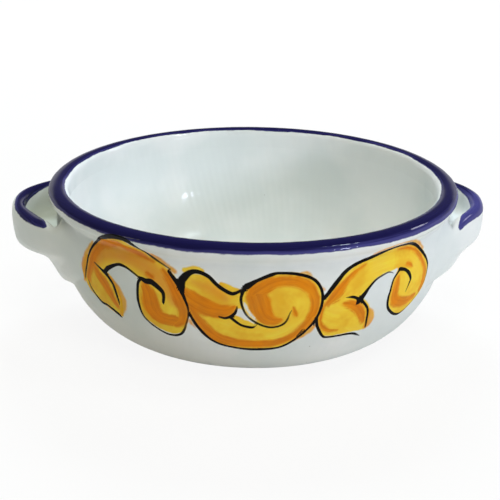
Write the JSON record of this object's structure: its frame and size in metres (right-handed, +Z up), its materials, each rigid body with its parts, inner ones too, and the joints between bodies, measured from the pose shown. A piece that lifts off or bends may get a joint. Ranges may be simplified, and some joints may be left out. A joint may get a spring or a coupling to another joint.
{
  "type": "two-handled serving dish",
  "caption": "Round open earthenware dish with a rolled blue rim, a blind ear handle on each side and painted yellow scrolls; it bakes, holds and serves food.",
  "frame": {"origin": "centre of the flat underside, on the surface that the dish stands on", "axes": "+Z up out of the bowl; +X towards the right-hand handle; -Y is the painted front"},
  "size_m": [0.2945, 0.25, 0.091],
  "materials": {
    "white_glaze": "glossy white tin glaze, painted",
    "blue_glaze": "glossy cobalt blue brushed over white glaze",
    "fired_slip": "matte fired clay"
  },
  "bodies": {
    "root": {"bowl_body": "white_glaze", "rim_roll": "blue_glaze", "left_handle": "white_glaze", "left_slip_joint": "fired_slip", "right_handle": "white_glaze", "right_slip_joint": "fired_slip"}
  },
  "joints": []
}
